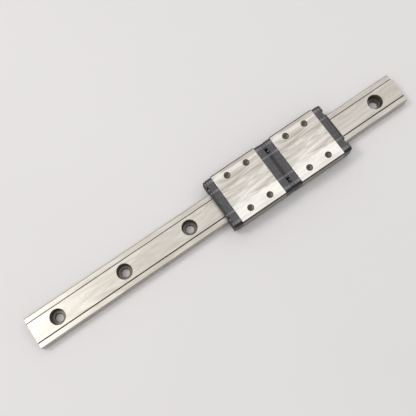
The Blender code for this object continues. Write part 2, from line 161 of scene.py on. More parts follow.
# Screws.
HEAD_NOTCH_HALF_WIDTH = 1.3 * MM
HEAD_HEIGHT = 0.7 * MM
HEAD_RIM_SHARE, HEAD_DOME_SHARE = 0.35, 0.65  # of the head's height
RECESS_LENGTH, RECESS_WIDTH = 0.72, 0.15  # of the head's radius
RECESS_DEPTH_SHARE = 0.62  # of the head's height
SHANK_RADIUS = 0.75 * MM
SHANK_HOLE_RADIUS = SHANK_RADIUS * 1.13
SCREW_POINT_SHARE = 0.6  # of the shank's radius
SCREW_PITCH = 0.35 * MM
SCREW_THREAD_START = 0.5 * MM
SCREW_THREAD_DEPTH = 0.12 * MM
SCREW_THREAD_DROP = 0.17 * MM

# Fineness of the meshes.
ROUND_STEPS = 64
PLATE_ROUND_STEPS = 40
SMALL_ROUND_STEPS = 32
BALL_STEPS, BALL_RINGS = 20, 12
ARC_STEPS = 12
NOTCH_STEPS = 24
DOME_STEPS = 8
FOOT_STEPS, CROWN_STEPS = 6, 4
BEVEL_SEGMENTS = 2
BEVEL_ANGLE = math.radians(35)
SMOOTH_ANGLE = math.radians(32)
NORMALS_FROM_LARGE_FACES = 100  # the modifier's highest weight
CUT_MARGIN = 0.5 * MM
MERGE_DISTANCE = 1e-7
SQUARE_ON = 0.9  # a face is square to an axis if its normal's share of the axis is above this
SIDEWAYS = 0.5  # and sideways, like the sides and the chamfers beside them, if above this


# ---------------------------------------------------------------- outlines (y, z)


def arc(centre, radius, start, end, steps=ARC_STEPS):
    """Points on an arc, both ends included. Angles are in degrees, anticlockwise from +Y."""
    angles = [math.radians(start + (end - start) * i / steps) for i in range(steps + 1)]
    return [(centre[0] + radius * math.cos(a), centre[1] + radius * math.sin(a)) for a in angles]


def mirrored(half):
    """The whole outline from its +Y half."""
    return half + [(-y, z) for y, z in reversed(half) if y > MERGE_DISTANCE]


def flank(gap):
    """The rail's side from its waist up to the land beside its crown, pushed outwards by gap."""
    radius = GROOVE_RADIUS - gap
    reach = math.degrees(math.acos((ROW_Y - RAIL_HIGH.y - gap) / radius))
    return [
        *arc((ROW_Y, ROW_Z["lower"]), radius, 180, 180 - reach),
        *reversed(arc((ROW_Y, ROW_Z["upper"]), radius, 180, 180 + reach)),
    ]


def rail_half():
    """Half of the rail's section: foot, waist, flank, land, relief groove and crown."""
    land_z = ROW_Z["upper"]
    relief_y = CROWN_HALF_WIDTH + RELIEF_WIDTH
    relief_z = land_z - RELIEF_DEPTH
    return [
        (RAIL_HIGH.y - FOOT_CHAMFER, 0),
        (RAIL_HIGH.y, FOOT_CHAMFER),
        (RAIL_HIGH.y, FOOT_HEIGHT),
        (WAIST_HALF_WIDTH, WAIST_Z),
        *flank(0),
        (relief_y + RELIEF_DEPTH, land_z),
        (relief_y, relief_z),
        (CROWN_HALF_WIDTH, relief_z),
        (CROWN_HALF_WIDTH, RAIL_HIGH.z - CROWN_CHAMFER),
        (CROWN_HALF_WIDTH - CROWN_CHAMFER, RAIL_HIGH.z),
    ]


def block_half():
    """Half of the block's section, whose channel holds both raceways and the retainer's slot."""
    middle = (ROW_Z["upper"] + ROW_Z["lower"]) / 2
    return [
        (0, CHANNEL_TOP),
        (ROW_Y - GROOVE_RADIUS / 2, CHANNEL_TOP),
        *arc((ROW_Y, ROW_Z["upper"]), GROOVE_RADIUS, 90, 0),
        (ROW_Y + GROOVE_RADIUS, middle + RETAINER_SLOT_HALF_HEIGHT),
        (RETAINER_SLOT_Y, middle + RETAINER_SLOT_HALF_HEIGHT),
        (RETAINER_SLOT_Y, middle - RETAINER_SLOT_HALF_HEIGHT),
        (ROW_Y + GROOVE_RADIUS, middle - RETAINER_SLOT_HALF_HEIGHT),
        *arc((ROW_Y, ROW_Z["lower"]), GROOVE_RADIUS, 0, -90),
        (LIP_HALF_WIDTH, ROW_Z["lower"] - GROOVE_RADIUS),
        (LIP_HALF_WIDTH, BLOCK_LOW.z + FOOT_CHAMFER),
        (LIP_HALF_WIDTH + FOOT_CHAMFER, BLOCK_LOW.z),
        (BLOCK_HALF_WIDTH - BLOCK_CHAMFER, BLOCK_LOW.z),
        (BLOCK_HALF_WIDTH, BLOCK_LOW.z + BLOCK_CHAMFER),
        (BLOCK_HALF_WIDTH, BLOCK_HIGH.z - BLOCK_CHAMFER),
        (BLOCK_HALF_WIDTH - BLOCK_CHAMFER, BLOCK_HIGH.z),
        (0, BLOCK_HIGH.z),
    ]


def saddle(gap, low, high, inset=0, rims=RIM_SPANS):
    """Half of a plate that straddles the rail at a distance of gap, with rims along its top and
    its outer sides moved in by inset."""
    half_width, bottom, crest = high.y - inset, low.z + inset, high.z - inset
    top = crest - RIM_HEIGHT if rims else crest
    foot_radius = PLATE_CORNER / 2
    crown_y, crown_z = CROWN_HALF_WIDTH + gap, RAIL_HIGH.z + gap
    land_z = ROW_Z["upper"] + gap
    rim_points = []
    for inner, outer in reversed(rims):
        rim_points += [(outer, top), (outer, crest), (inner, crest), (inner, top)]
    return [
        (0, crown_z),
        *arc((crown_y - gap / 2, crown_z - gap / 2), gap / 2, 90, 0, CROWN_STEPS),
        (crown_y, land_z),
        *[(y, land_z if z == ROW_Z["upper"] else z) for y, z in reversed(flank(gap))],
        (WAIST_HALF_WIDTH + gap, bottom),
        *arc((half_width - foot_radius, bottom + foot_radius), foot_radius, -90, 0, FOOT_STEPS),
        (half_width, top - PLATE_CORNER),
        (half_width - PLATE_CORNER, top),
        *rim_points,
        (0, top),
    ]


# ---------------------------------------------------------------- mesh tools


def link(name, mesh):
    made = bpy.data.objects.new(name, mesh)
    bpy.context.scene.collection.objects.link(made)
    return made


def from_bmesh(name, shape):
    """An object that holds the shape, which is freed."""
    mesh = bpy.data.meshes.new(name)
    shape.to_mesh(mesh)
    shape.free()
    return link(name, mesh)


def baked(obj):
    """The object's mesh with its modifiers and transform applied. The object is removed."""
    bpy.context.view_layer.update()
    graph = bpy.context.evaluated_depsgraph_get()
    mesh = bpy.data.meshes.new_from_object(obj.evaluated_get(graph))
    mesh.transform(obj.matrix_world)
    bpy.data.objects.remove(obj, do_unlink=True)
    return mesh


def prism(name, outline, span):
    """An object of constant section: outline in the YZ plane, along X from span[0] to span[1]."""
    shape = bmesh.new()
    first = [shape.verts.new((span[0], y, z)) for y, z in outline]
    last = [shape.verts.new((span[1], y, z)) for y, z in outline]
    shape.faces.new(first)
    shape.faces.new(reversed(last))
    count = len(outline)
    for i in range(count):
        j = (i + 1) % count
        shape.faces.new((first[j], first[i], last[i], last[j]))
    bmesh.ops.recalc_face_normals(shape, faces=shape.faces)
    return from_bmesh(name, shape)


def turned(name, profile, steps=ROUND_STEPS, axis="Z"):
    """A closed solid of revolution about Z, or X, from (radius, height) points."""
    shape = bmesh.new()
    line = [shape.verts.new((radius, 0, height)) for radius, height in profile]
    edges = [shape.edges.new(pair) for pair in zip(line, line[1:])]
    bmesh.ops.spin(
        shape, geom=line + edges, axis=(0, 0, 1), cent=(0, 0, 0), angle=2 * math.pi, steps=steps
    )
    bmesh.ops.remove_doubles(shape, verts=shape.verts, dist=MERGE_DISTANCE)
    bmesh.ops.recalc_face_normals(shape, faces=shape.faces)
    if axis == "X":
        bmesh.ops.rotate(shape, verts=shape.verts, matrix=Matrix.Rotation(math.pi / 2, 3, "Y"))
    return from_bmesh(name, shape)


def rod(name, radius, half_length, steps):
    """A plain round bar along X, centred on the origin."""
    profile = [(0, half_length), (radius, half_length), (radius, -half_length), (0, -half_length)]
    return turned(name, profile, steps, "X")


def box(name, low, high):
    shape = bmesh.new()
    bmesh.ops.create_cube(shape, size=1)
    centre, size = (Vector(low) + Vector(high)) / 2, Vector(high) - Vector(low)
    for vertex in shape.verts:
        vertex.co = centre + Vector(a * b for a, b in zip(vertex.co, size))
    return from_bmesh(name, shape)


def bevel(obj, width):
    modifier = obj.modifiers.new("edges", "BEVEL")
    modifier.width = width
    modifier.segments = BEVEL_SEGMENTS
    modifier.limit_method = "ANGLE"
    modifier.angle_limit = BEVEL_ANGLE


def copies(obj, *offsets):
    """One object holding a copy of obj at each offset. The object given is removed."""
    source = baked(obj)
    shape = bmesh.new()
    for offset in offsets:
        start = len(shape.verts)
        shape.from_mesh(source)
        shape.verts.ensure_lookup_table()
        bmesh.ops.translate(shape, verts=shape.verts[start:], vec=offset)
    return from_bmesh(source.name, shape)


def cut(obj, *cutters):
    """obj less the cutters, which are removed with it: a new object of the same name."""
    name = obj.name
    for cutter in cutters:
        modifier = obj.modifiers.new(cutter.name, "BOOLEAN")
        modifier.operation = "DIFFERENCE"
        modifier.object = cutter
    mesh = baked(obj)
    for cutter in cutters:
        bpy.data.objects.remove(cutter, do_unlink=True)
    return link(name, mesh)


def finished(obj, *materials):
    """The object's mesh, ready to be shared by its copies: smooth but for its sharp edges, and with
    its large faces shaded flat right up to the bevels round them."""
    mesh = baked(obj)
    mesh.materials.clear()
    for material in materials:
        mesh.materials.append(material)
    mesh.shade_smooth()
    mesh.set_sharp_from_angle(angle=SMOOTH_ANGLE)
    smooth = link(mesh.name, mesh)
    modifier = smooth.modifiers.new("large faces first", "WEIGHTED_NORMAL")
    modifier.mode = "FACE_AREA"
    modifier.weight = NORMALS_FROM_LARGE_FACES
    modifier.keep_sharp = True
    return baked(smooth)


def coat(mesh, material_of):
    """Gives each face the one of the mesh's materials that material_of returns for it."""
    for face in mesh.polygons:
        face.material_index = mesh.materials.find(material_of(face).name)
    return mesh


# ---------------------------------------------------------------- materials

# The sockets of a Mix node that mixes colours.
MIX_SHARE, MIX_FIRST, MIX_SECOND, MIX_RESULT = 0, 6, 7, 2
# Noise lies mostly between these.
NOISE_LOW, NOISE_HIGH = 0.3, 0.7
# Where oil starts, in metres along Y, on a piece that has it all over or not at all.
OILED_ALL_OVER, OILED_NOWHERE = -1.0, 1.0
# How far the edge of the oil wanders, and the span of its soft edge. On the carriage tops this edge
# also bounds painted shade: the streaked far part is darker and the near strip stays bright.
OIL_AND_SHADE_EDGE_WANDER = 1.2 * MM
OIL_AND_SHADE_EDGE = (-0.4 * MM, 0.8 * MM)
# Streaks are broader than the lines of grinding by this.
STREAK_BREADTH = 14


class Shader:
    """A material whose Principled BSDF takes its inputs from a few named procedural layers."""

    def __init__(self, name, roughness, metallic=0.0, specular=0.5):
        self.material = bpy.data.materials.new(name)
        self.material.use_nodes = True
        self.tree = self.material.node_tree
        self.bsdf = self.tree.nodes["Principled BSDF"]
        self.bsdf.inputs["Roughness"].default_value = roughness
        self.bsdf.inputs["Metallic"].default_value = metallic
        self.bsdf.inputs["Specular IOR Level"].default_value = specular
        self.place = self.tree.nodes.new("ShaderNodeTexCoord").outputs["Object"]

    def node(self, kind, **inputs):
        """A new node with its inputs, by name, set to values or linked to sockets."""
        made = self.tree.nodes.new(kind)
        for name, value in inputs.items():
            socket = made.inputs[name.replace("_", " ")]
            if isinstance(value, bpy.types.NodeSocket):
                self.tree.links.new(value, socket)
            else:
                socket.default_value = value
        return made

    def noise(self, per_metre, detail=4.0, roughness=0.55, distortion=0.0):
        """Noise with this many features a metre along X, Y and Z."""
        stretched = self.node("ShaderNodeMapping", Vector=self.place, Scale=per_metre)
        made = self.node(
            "ShaderNodeTexNoise",
            Vector=stretched.outputs["Vector"],
            Scale=1.0,
            Detail=detail,
            Roughness=roughness,
            Distortion=distortion,
        )
        return made.outputs["Fac"]

    def remap(self, value, low, high, start=NOISE_LOW, end=NOISE_HIGH):
        """low where value is at or below start, high where it is at or above end."""
        made = self.node(
            "ShaderNodeMapRange", Value=value, From_Min=start, From_Max=end, To_Min=low, To_Max=high
        )
        return made.outputs["Result"]

    def mix(self, share, first, second):
        made = self.tree.nodes.new("ShaderNodeMix")
        made.data_type = "RGBA"
        for index, value in ((MIX_SHARE, share), (MIX_FIRST, first), (MIX_SECOND, second)):
            socket = made.inputs[index]
            if isinstance(value, bpy.types.NodeSocket):
                self.tree.links.new(value, socket)
            else:
                socket.default_value = value if index == MIX_SHARE else (*value, 1)
        return made.outputs[MIX_RESULT]

    def combined(self, operation, first, second):
        made = self.tree.nodes.new("ShaderNodeMath")
        made.operation = operation
        self.tree.links.new(first, made.inputs[0])
        self.tree.links.new(second, made.inputs[1])
        return made.outputs[0]

    def beyond(self, across, ragged):
        """0 on the near side of Y = across, 1 beyond it. The edge wanders by ragged metres."""
        waves = self.noise((45, 45, 45), detail=3)
        wander = self.remap(waves, across - ragged, across + ragged, start=0.35, end=0.65)
        place_y = self.node("ShaderNodeSeparateXYZ", Vector=self.place).outputs["Y"]
        gap = self.combined("SUBTRACT", place_y, wander)
        return self.remap(gap, 0.0, 1.0, *OIL_AND_SHADE_EDGE)

    def bump(self, height, strength, distance, under=None):
        made = self.node("ShaderNodeBump", Strength=strength, Distance=distance, Height=height)
        if under is not None:
            self.tree.links.new(under, made.inputs["Normal"])
        return made.outputs["Normal"]

    def set(self, **sockets):
        """The material, with these inputs of its Principled BSDF linked."""
        for name, value in sockets.items():
            self.tree.links.new(value, self.bsdf.inputs[name.replace("_", " ")])
        return self.material


def ground_steel(
    name, colour, shade, roughness, oil_and_shade_from=OILED_ALL_OVER, along=(60, 7000, 7000)
):
    """Ground stainless steel: fine lines along the grinding under streaks of preserving oil, which
    lies beyond Y = oil_and_shade_from and is wiped off elsewhere. Where that edge crosses a
    carriage's top, the darker far part is painted shade as well as oil, and the near strip stays
    bright."""
    made = Shader(name, roughness, metallic=1.0)
    lines = made.noise(along, detail=3, roughness=0.7)
    streaks = made.noise(tuple(a / STREAK_BREADTH for a in along), detail=4)
    stains = made.noise((55, 130, 130), detail=6, roughness=0.62)
    oil = made.noise((34, 230, 230), detail=6, roughness=0.62, distortion=1.4)
    # Oil streaks darken the steel beyond the mask's edge; on a carriage's top this darker far part
    # is painted shade as well as oil.
    oil_and_shade_mask = made.beyond(oil_and_shade_from, OIL_AND_SHADE_EDGE_WANDER)
    oil_and_shade_film = made.combined("MULTIPLY", oil_and_shade_mask, made.remap(oil, 0.15, 1.0, start=0.38, end=0.60))
    tint = made.mix(made.remap(stains, 0.0, 0.3, start=0.42, end=0.64), colour, shade)
    tint = made.mix(made.remap(streaks, 0.0, 0.3), tint, shade)
    tint = made.mix(oil_and_shade_film, tint, shade)
    rough = made.remap(lines, roughness - 0.06, roughness + 0.08)
    normal = made.bump(lines, 0.25, 0.004 * MM, made.bump(streaks, 0.12, 0.02 * MM))
    return made.set(Base_Color=tint, Roughness=rough, Normal=normal)


def satin_steel(name, colour, shade, roughness):
    """Steel as hardened, not ground: even and slightly mottled, in the colours given."""
    made = Shader(name, roughness, metallic=1.0)
    mottle = made.noise((900, 900, 900), detail=5)
    grain = made.noise((9000, 9000, 9000), detail=2)
    tint = made.mix(made.remap(mottle, 0.0, 0.8), colour, shade)
    rough = made.remap(mottle, roughness - 0.05, roughness + 0.1)
    return made.set(Base_Color=tint, Roughness=rough, Normal=made.bump(grain, 0.2, 0.006 * MM))


def moulded_resin(name, colour, pale, roughness):
    """Filled resin from a fine spark-eroded mould: a tight grain and cloudy flow marks."""
    made = Shader(name, roughness, specular=0.45)
    grain = made.noise((6500, 6500, 6500), detail=3, roughness=0.6)
    flow = made.noise((260, 700, 500), detail=5)
    tint = made.mix(made.remap(flow, 0.0, 1.0), colour, pale)
    rough = made.remap(flow, roughness - 0.07, roughness + 0.09)
    normal = made.bump(grain, 0.45, 0.018 * MM, made.bump(flow, 0.08, 0.05 * MM))
    return made.set(Base_Color=tint, Roughness=rough, Normal=normal)


def moulded_rubber(name, colour, bloom_colour):
    """Nitrile rubber: matt, with a dusty bloom in patches."""
    made = Shader(name, 0.68, specular=0.3)
    bloom = made.noise((700, 500, 500), detail=6, roughness=0.65)
    pores = made.noise((5200, 5200, 5200), detail=4)
    tint = made.mix(made.remap(bloom, 0.0, 0.7, start=0.4, end=0.75), colour, bloom_colour)
    rough = made.remap(bloom, 0.58, 0.82)
    return made.set(Base_Color=tint, Roughness=rough, Normal=made.bump(pores, 0.5, 0.015 * MM))


def polished_steel(name, colour, haze, roughness):
    """Lapped ball steel: a mirror with a faint haze."""
    made = Shader(name, roughness, metallic=1.0)
    cloud = made.noise((1500, 1500, 1500), detail=4)
    tint = made.mix(made.remap(cloud, 0.0, 0.4), colour, haze)
    return made.set(Base_Color=tint, Roughness=made.remap(cloud, roughness, roughness + 0.07))


def paper_floor():
    """Pale plain backdrop with a faint tooth."""
    made = Shader("pale_floor", 0.85, specular=0.15)
    cloud = made.noise((5, 5, 5), detail=3)
    tooth = made.noise((1800, 1800, 1800), detail=4)
    tint = made.mix(made.remap(cloud, 0.0, 1.0), (0.880, 0.862, 0.857), (0.857, 0.839, 0.834))
    return made.set(Base_Color=tint, Normal=made.bump(tooth, 0.06, 0.05 * MM))


RAIL_STEEL = ground_steel(
    "rail_ground_steel", (0.69, 0.66, 0.61), (0.49, 0.459, 0.408), roughness=0.32
)
RAIL_END = ground_steel(
    "rail_cut_end",
    (0.60, 0.58, 0.54),
    (0.42, 0.40, 0.37),
    roughness=0.42,
    oil_and_shade_from=OILED_NOWHERE,
    along=(7000, 80, 7000),
)
# Painted shade: beyond Y = -6.5 mm the top is darkened by the oil streaks, so that only the near
# strip stays bright, as if it alone caught the light's reflection.
GROUND_TOP = ground_steel(
    "carriage_ground_steel",
    (0.95, 0.925, 0.875),
    (0.43, 0.395, 0.343),
    roughness=0.31,
    oil_and_shade_from=-6.5 * MM,
)
# Painted shade: the block's sides and ends get a darker steel colour than its top, as if in shade,
# though they are ground like it.
SHADED_BLOCK_SIDE = ground_steel(
    "carriage_side_steel_painted_shade", (0.40, 0.36, 0.315), (0.27, 0.24, 0.205), roughness=0.38
)
# Painted shade: near-black steel on the block's chamfers and in the rail's relief grooves, for the
# dark lines of shade along them.
DARK_SHADE_STEEL = satin_steel(
    "edge_and_groove_steel_painted_shade", (0.105, 0.10, 0.095), (0.06, 0.057, 0.055), roughness=0.50
)
# Painted shade: the tapped holes, their threads and the rail's counterbores get a dark steel
# colour, as shade falls in them.
SHADED_BORE_STEEL = satin_steel(
    "bored_steel_painted_shade", (0.20, 0.182, 0.158), (0.115, 0.104, 0.091), roughness=0.38
)
CORE_STEEL = satin_steel(
    "seal_core_blackened", (0.12, 0.12, 0.125), (0.08, 0.08, 0.082), roughness=0.42
)
SCREW_STEEL = satin_steel(
    "blackened_screw", (0.40, 0.39, 0.385), (0.27, 0.262, 0.26), roughness=0.34
)
BALL_STEEL = polished_steel(
    "ball_steel_polished", (0.86, 0.86, 0.87), (0.74, 0.74, 0.75), roughness=0.06
)
PLATE_RESIN = moulded_resin(
    "end_plate_charcoal", (0.070, 0.066, 0.068), (0.110, 0.105, 0.107), roughness=0.46
)
GUIDE_RESIN = moulded_resin(
    "guide_natural_resin", (0.76, 0.73, 0.64), (0.84, 0.82, 0.76), roughness=0.42
)
BELT_RESIN = moulded_resin(
    "cage_belt_resin", (0.62, 0.52, 0.30), (0.72, 0.63, 0.42), roughness=0.40
)
# Painted sheen: the end plates' rims are paler on top, as if they caught the overhead light.
PLATE_RIM_SHEEN = moulded_resin(
    "end_plate_rim_painted_sheen", (0.180, 0.172, 0.183), (0.245, 0.234, 0.247), roughness=0.38
)
# Painted shade: the corner chamfers and sides of the end plates and wipers are near black, as if
# they faced away from the light.
SHADED_PLATE_FLANK = moulded_resin(
    "end_plate_flank_painted_shade", (0.014, 0.013, 0.013), (0.028, 0.026, 0.026), roughness=0.34
)
WIPER_RUBBER = moulded_rubber("wiper_nitrile", (0.055, 0.053, 0.055), (0.110, 0.106, 0.109))
# Painted sheen: the wipers' rims are paler on top, as if they caught the overhead light.
WIPER_RIM_SHEEN = moulded_rubber("wiper_rim_painted_sheen", (0.185, 0.178, 0.188), (0.280, 0.268, 0.280))


# ---------------------------------------------------------------- fine pieces
# The rail is where the frame has it. A carriage's pieces are made about the carriage's centre.


def rail_mesh():
    """The rail, with counterbored holes and relief grooves beside its crown, both painted dark as
    shade, and broken edges.
    """
    blank = prism("rail_fine", mirrored(rail_half()), (RAIL_LOW.x, RAIL_HIGH.x))
    bevel(blank, RAIL_EDGE)
    top, shoulder = RAIL_HIGH.z, RAIL_HIGH.z - COUNTERBORE_DEPTH
    hole = turned(
        "rail_holes",
        [
            (0, top + CUT_MARGIN),
            (COUNTERBORE_RADIUS + MOUTH_CHAMFER + CUT_MARGIN, top + CUT_MARGIN),
            (COUNTERBORE_RADIUS, top - MOUTH_CHAMFER),
            (COUNTERBORE_RADIUS, shoulder + MOUTH_CHAMFER),
            (COUNTERBORE_RADIUS - MOUTH_CHAMFER, shoulder),
            (BOLT_HOLE_RADIUS + MOUTH_CHAMFER, shoulder),
            (BOLT_HOLE_RADIUS, shoulder - MOUTH_CHAMFER),
            (BOLT_HOLE_RADIUS, MOUTH_CHAMFER),
            (BOLT_HOLE_RADIUS + MOUTH_CHAMFER + CUT_MARGIN, -CUT_MARGIN),
            (0, -CUT_MARGIN),
        ],
    )
    first = -BOLT_PITCH * (BOLT_COUNT - 1) / 2
    holes = copies(hole, *[(first + BOLT_PITCH * i, 0, 0) for i in range(BOLT_COUNT)])
    mesh = finished(cut(blank, holes), RAIL_STEEL, SHADED_BORE_STEEL, DARK_SHADE_STEEL, RAIL_END)
    relief_end = CROWN_HALF_WIDTH + RELIEF_WIDTH + RELIEF_DEPTH
    mouth_radius = COUNTERBORE_RADIUS + MOUTH_CHAMFER / 2

    def material_of(face):
        x, y, z = face.center
        from_hole = abs((x - first + BOLT_PITCH / 2) % BOLT_PITCH - BOLT_PITCH / 2)
        # Counterbores: painted shade.
        if math.hypot(from_hole, y) < mouth_radius and 0 < z < top - MERGE_DISTANCE:
            return SHADED_BORE_STEEL
        if abs(x) > RAIL_HIGH.x - MERGE_DISTANCE:
            return RAIL_END
        # The relief grooves beside the crown: painted shade.
        beside_crown = CROWN_HALF_WIDTH - MERGE_DISTANCE < abs(y) < relief_end
        if beside_crown and ROW_Z["lower"] < z < top - CROWN_CHAMFER:
            return DARK_SHADE_STEEL
        return RAIL_STEEL

    return coat(mesh, material_of)


def tap_offsets():
    """The places of a carriage's four tapped holes."""
    half_x, half_y = TAP_SPACING_X / 2, TAP_SPACING_Y / 2
    return [(x, y, 0) for x in (-half_x, half_x) for y in (-half_y, half_y)]


def block_mesh():
    """A carriage's block: ground top, sides painted darker and chamfers near black as shade, tapped
    holes painted dark as shade, and return bores.
    """
    span = (-BLOCK_HALF_LENGTH, BLOCK_HALF_LENGTH)
    blank = prism("block_fine", mirrored(block_half()), span)
    bevel(blank, BLOCK_EDGE)

    top = BLOCK_HIGH.z
    tap = turned(
        "taps",
        [
            (0, top + CUT_MARGIN),
            (THREAD_MAJOR_RADIUS + TAP_CHAMFER + CUT_MARGIN, top + CUT_MARGIN),
            (THREAD_MAJOR_RADIUS, top - TAP_CHAMFER),
            (THREAD_MAJOR_RADIUS, top - THREAD_DEPTH),
            (THREAD_MINOR_RADIUS, top - THREAD_DEPTH - TAP_RUN_OUT),
            (0, top - THREAD_DEPTH - THREAD_MINOR_RADIUS / 2),
        ],
    )
    bore = rod("returns", RETURN_BORE_RADIUS, BLOCK_HALF_LENGTH + CUT_MARGIN, SMALL_ROUND_STEPS)
    return_y = TURN_Y + TURN_RADIUS
    returns = copies(bore, *[(0, y, z) for y in (-return_y, return_y) for z in ROW_Z.values()])
    block = cut(blank, copies(tap, *tap_offsets()), returns)
    mesh = finished(block, GROUND_TOP, SHADED_BLOCK_SIDE, DARK_SHADE_STEEL, SHADED_BORE_STEEL)
    mouth_radius = THREAD_MAJOR_RADIUS + TAP_CHAMFER

    def material_of(face):
        x, y, z = face.center
        drilled = BLOCK_HIGH.z / 2 < z < top - MERGE_DISTANCE and any(
            math.hypot(x - tap_x, y - tap_y) < mouth_radius for tap_x, tap_y, _ in tap_offsets()
        )
        # Tapped holes: painted shade.
        if drilled:
            return SHADED_BORE_STEEL
        # Sides and ends: painted shade.
        if max(abs(face.normal.x), abs(face.normal.y)) > SQUARE_ON:
            return SHADED_BLOCK_SIDE
        # Chamfers: painted shade, near black.
        if abs(y) > BLOCK_HALF_WIDTH - BLOCK_CHAMFER:
            return DARK_SHADE_STEEL
        return GROUND_TOP

    return coat(mesh, material_of)


def thread_mesh():
    """The four helical ridges in a block's tapped holes."""
    shape = bmesh.new()
    rings = []
    for i in range(int(THREAD_STEPS * THREAD_TURNS) + 1):
        angle = 2 * math.pi * i / THREAD_STEPS
        z = BLOCK_HIGH.z - TAP_CHAMFER - THREAD_PITCH * (THREAD_START + i / THREAD_STEPS)
        fade = min(1, i / THREAD_FADE_STEPS)
        rings.append([])
        for radius, share in THREAD_SECTION:
            reach = THREAD_ROOT + (radius - THREAD_ROOT) * fade
            height = z + share * THREAD_PITCH
            place_on_ridge = (reach * math.cos(angle), reach * math.sin(angle), height)
            rings[-1].append(shape.verts.new(place_on_ridge))
    for first, second in zip(rings, rings[1:]):
        for k in range(len(THREAD_SECTION)):
            n = (k + 1) % len(THREAD_SECTION)
            shape.faces.new((first[k], second[k], second[n], first[n]))
    shape.faces.new(rings[0])
    shape.faces.new(reversed(rings[-1]))
    bmesh.ops.recalc_face_normals(shape, faces=shape.faces)
    return finished(copies(from_bmesh("thread", shape), *tap_offsets()), SHADED_BORE_STEEL)


def port_cutter(start, end):
    """Cuts the grease port from X = start to X = end."""
    port = rod("port", PORT_RADIUS, (end - start) / 2, PLATE_ROUND_STEPS)
    port.location = ((start + end) / 2, 0, PORT_Z)
    return port


def screw_hole_cutter(start, end):
    """Cuts the holes for a carriage end's two screws from X = start to X = end."""
    hole = rod("screw_hole", SHANK_HOLE_RADIUS, (end - start) / 2, SMALL_ROUND_STEPS)
    middle = (start + end) / 2
    return copies(hole, (middle, -SCREW_Y, SCREW_Z), (middle, SCREW_Y, SCREW_Z))


def rimmed(obj, high, face_material, rim_material):
    """The mesh of an end piece whose top is at high: its rims are painted pale on top, a painted
    sheen, and its corner chamfers and sides are glossy and painted near black as shade."""

    def material_of(face):
        # Rim tops: painted sheen.
        if face.center.z > high.z - RIM_HEIGHT / 3:
            return rim_material
        # Corner chamfers and sides: painted shade.
        if abs(face.normal.y) > SIDEWAYS and abs(face.center.y) > high.y - PLATE_CORNER:
            return SHADED_PLATE_FLANK
        return face_material

    return coat(finished(obj, face_material, rim_material, SHADED_PLATE_FLANK), material_of)


def end_plate_mesh():
    """The moulded end plate, with a seam round it where its two halves meet."""

    def outline(inset):
        return mirrored(saddle(PLATE_GAP, PLATE_LOW, PLATE_HIGH, inset))

    start, end = PLATE_SPAN
    blank = prism("end_plate_fine", outline(0), PLATE_SPAN)
    bevel(blank, PLATE_EDGE)

    seam_start = start + (end - start) * SEAM_SHARE
    seam_end = seam_start + SEAM_WIDTH
    ring = prism("seam", outline(-CUT_MARGIN), (seam_start, seam_end))
    keep_span = (seam_start - CUT_MARGIN, seam_end + CUT_MARGIN)
    seam = cut(ring, prism("seam_core", outline(SEAM_DEPTH), keep_span))

    # A round pocket for the return guide, with a rounded track round it for each row of balls.
    lean = math.degrees(math.acos((POCKET_RADIUS - TURN_RADIUS) / RETURN_BORE_RADIUS))
    profile = [(0, POCKET_HIGH), (POCKET_RADIUS, POCKET_HIGH)]
    for row in ("upper", "lower"):
        profile += arc((TURN_RADIUS, ROW_Z[row]), RETURN_BORE_RADIUS, lean, -lean)
    profile += [(POCKET_RADIUS, POCKET_LOW), (0, POCKET_LOW)]
    pocket = turned("turn_pocket", profile, PLATE_ROUND_STEPS)
    pockets = copies(pocket, (BLOCK_HALF_LENGTH, -TURN_Y, 0), (BLOCK_HALF_LENGTH, TURN_Y, 0))

    plate = cut(
        blank,
        seam,
        pockets,
        screw_hole_cutter(start - CUT_MARGIN, end + CUT_MARGIN),
        port_cutter(end - PORT_DEPTH, end + CUT_MARGIN),
    )
    return rimmed(plate, PLATE_HIGH, PLATE_RESIN, PLATE_RIM_SHEEN)


def seal_core_mesh():
    """The thin steel plate that stiffens a seal."""
    start, end = CORE_SPAN
    outline = saddle(CORE_GAP, CORE_LOW, CORE_HIGH, rims=())
    core = prism("seal_core_fine", mirrored(outline), CORE_SPAN)
    bevel(core, CORE_EDGE)
    through = (start - CUT_MARGIN, end + CUT_MARGIN)
    return finished(cut(core, screw_hole_cutter(*through), port_cutter(*through)), CORE_STEEL)


def wiper_mesh():
    """The rubber end seal, notched for the screws' heads."""
    start, end = WIPER_SPAN
    through = (start - CUT_MARGIN, end + CUT_MARGIN)
    outline = saddle(WIPER_GAP, WIPER_LOW, WIPER_HIGH)
    blank = prism("wiper_fine", mirrored(outline), WIPER_SPAN)
    bevel(blank, WIPER_EDGE)
    notches = []
    for _, across in FLANKS:
        y = across * SCREW_Y
        notch = [
            (y + HEAD_NOTCH_HALF_WIDTH, WIPER_HIGH.z + CUT_MARGIN),
            (y - HEAD_NOTCH_HALF_WIDTH, WIPER_HIGH.z + CUT_MARGIN),
            *arc((y, SCREW_Z), HEAD_NOTCH_HALF_WIDTH, 180, 360, NOTCH_STEPS),
        ]
        notches.append(prism("notch", notch, through))
    wiper = cut(blank, *notches, port_cutter(*through))
    return rimmed(wiper, WIPER_HIGH, WIPER_RUBBER, WIPER_RIM_SHEEN)


